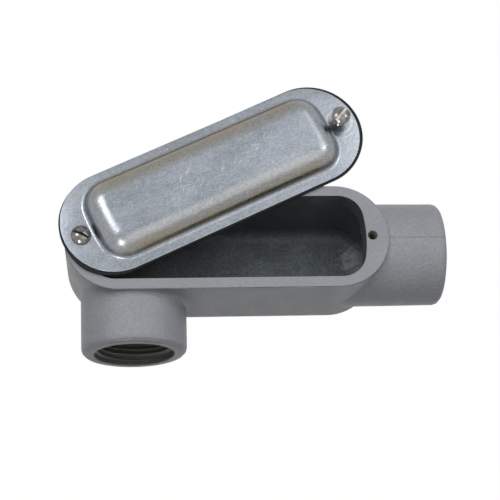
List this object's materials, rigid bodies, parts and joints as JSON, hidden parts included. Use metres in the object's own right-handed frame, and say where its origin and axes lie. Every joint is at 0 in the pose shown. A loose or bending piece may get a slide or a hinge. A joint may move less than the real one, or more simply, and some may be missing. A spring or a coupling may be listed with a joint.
{
  "type": "conduit body",
  "caption": "Side-outlet conduit body: a cast trough with a threaded hub at one end and one on the side, under a domed sheet cover on a gasket that swings open about its screw.",
  "frame": {"origin": "on the flat back face, midway between the two cover screws", "axes": "+X along the trough to the end hub, -Y out of the side hub, +Z from the back to the cover"},
  "size_m": [0.1642, 0.1115, 0.0584],
  "materials": {
    "casting": "grey enamel on cast iron",
    "gasket": "black sheet rubber",
    "cover_sheet": "bright zinc-plated sheet",
    "screw_steel": "bright plated"
  },
  "bodies": {
    "casting": {"body_casting": "casting", "pivot_screw": "screw_steel"},
    "cover": {"cover": "cover_sheet", "cover_gasket": "gasket"},
    "loose_screw": {"captive_screw": "screw_steel"}
  },
  "joints": [
    {"name": "cover_swing", "type": "hinge", "parent": "casting", "child": "cover", "pos_m": [-0.0608, 0, 0.0494], "axis": [0, 0, 1], "range_deg": [-25, 155]},
    {"name": "captive_screw_travel", "type": "slide", "parent": "cover", "child": "loose_screw", "axis": [0, 0, 1], "range_m": [-0.0058, 0]}
  ]
}
